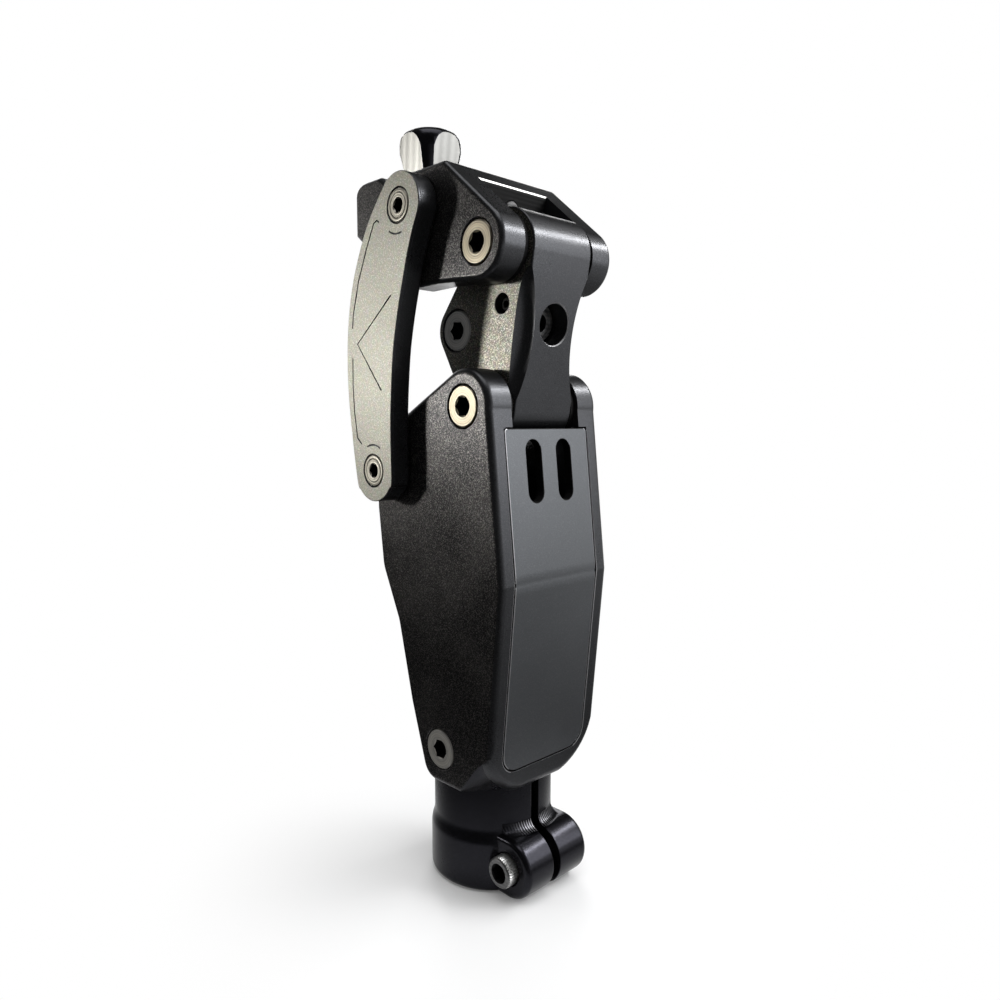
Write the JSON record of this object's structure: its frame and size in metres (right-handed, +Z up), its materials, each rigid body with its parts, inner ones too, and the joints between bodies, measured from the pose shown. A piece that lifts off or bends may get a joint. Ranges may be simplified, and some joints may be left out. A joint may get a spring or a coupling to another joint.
{
  "type": "prosthetic knee joint",
  "caption": "Four-bar prosthetic knee with a pneumatic cylinder in its shank frame, crescent side links, a pyramid on the head and a split tube clamp below.",
  "frame": {"origin": "on the tube axis at the stop face where the shank tube ends inside the clamp", "axes": "+Z up along the shank tube, +Y to the back of the leg, X across the knee along every pivot"},
  "size_m": [0.0616, 0.0713, 0.2361],
  "materials": {
    "blasted_black": "bead-blasted and black anodised",
    "black_anodised": "turned and black anodised, half gloss",
    "satin_grey": "satin dark grey anodised",
    "silver_anodised": "bead-blasted, warm silver anodised",
    "bolt_steel": "turned face, warm silver",
    "dark_steel": "dark grey, dull",
    "bright_steel": "bright, finely machined",
    "bronze": "plain bearing bronze",
    "chromed_steel": "polished hard chrome",
    "black_rubber": "matt black rubber"
  },
  "bodies": {
    "frame": {"shank_frame": "blasted_black", "rear_cover": "satin_grey", "tube_clamp": "black_anodised", "clamp_screw": "bright_steel", "neck_screw_left": "dark_steel", "neck_screw_right": "dark_steel", "lower_rear_axle": "bright_steel", "lower_rear_bolt_left": "bolt_steel", "lower_rear_bolt_right": "bolt_steel", "lower_washer_left": "bright_steel", "lower_washer_right": "bright_steel", "cylinder_axle": "bright_steel", "cylinder_bolt_left": "dark_steel", "cylinder_bolt_right": "dark_steel", "front_bush_left": "bronze", "front_bush_right": "bronze"},
    "rear_link_body": {"rear_link": "blasted_black", "rod_pin": "bright_steel", "mid_bolt_left": "dark_steel", "mid_bolt_right": "dark_steel", "set_screw_left": "dark_steel", "set_screw_right": "dark_steel"},
    "head": {"head_block": "blasted_black", "extension_bumper": "black_rubber", "wall_screw": "dark_steel", "pyramid": "bright_steel", "pyramid_bolt": "dark_steel", "upper_rear_axle": "bright_steel", "upper_rear_bolt_left": "bolt_steel", "upper_rear_bolt_right": "bolt_steel", "upper_washer_left": "bright_steel", "upper_washer_right": "bright_steel", "front_upper_axle": "bright_steel"},
    "side_links": {"side_link_left": "black_anodised", "side_link_right": "black_anodised", "face_plate_left": "silver_anodised", "face_plate_right": "silver_anodised", "link_bolt_upper_left": "bolt_steel", "link_bolt_upper_right": "bolt_steel", "link_bolt_lower_left": "bolt_steel", "link_bolt_lower_right": "bolt_steel"},
    "cylinder": {"cylinder_barrel": "black_anodised", "cylinder_gland": "satin_grey"},
    "rod": {"piston": "satin_grey", "piston_seal": "black_rubber", "piston_rod": "chromed_steel", "rod_end": "satin_grey"}
  },
  "joints": [
    {"name": "rear_link_swing", "type": "hinge", "parent": "frame", "child": "rear_link_body", "pos_m": [0, 0.0117, 0.1193], "axis": [1, 0, 0], "range_deg": [0, 34.57]},
    {"name": "head_flexion", "type": "hinge", "parent": "rear_link_body", "child": "head", "pos_m": [0, 0.0177, 0.1633], "axis": [-1, 0, 0], "range_deg": [0, 169.56]},
    {"name": "side_link_swing", "type": "hinge", "parent": "frame", "child": "side_links", "pos_m": [0, -0.0203, 0.1002], "axis": [-1, 0, 0], "range_deg": [0, 19.52]},
    {"name": "cylinder_swing", "type": "hinge", "parent": "frame", "child": "cylinder", "pos_m": [0, 0.0007, 0.0163], "axis": [1, 0, 0], "range_deg": [0, 5.4]},
    {"name": "rod_stroke", "type": "slide", "parent": "cylinder", "child": "rod", "axis": [0, 0.0294, -0.9996], "range_m": [0, 0.01157]}
  ],
  "couplings": [
    {"joint": "rear_link_swing", "follows": "head_flexion", "ratio": 0.20382},
    {"joint": "side_link_swing", "follows": "head_flexion", "ratio": 0.11506},
    {"joint": "cylinder_swing", "follows": "head_flexion", "ratio": 0.031818},
    {"joint": "rod_stroke", "follows": "head_flexion", "m_per_rad": 0.003907}
  ]
}
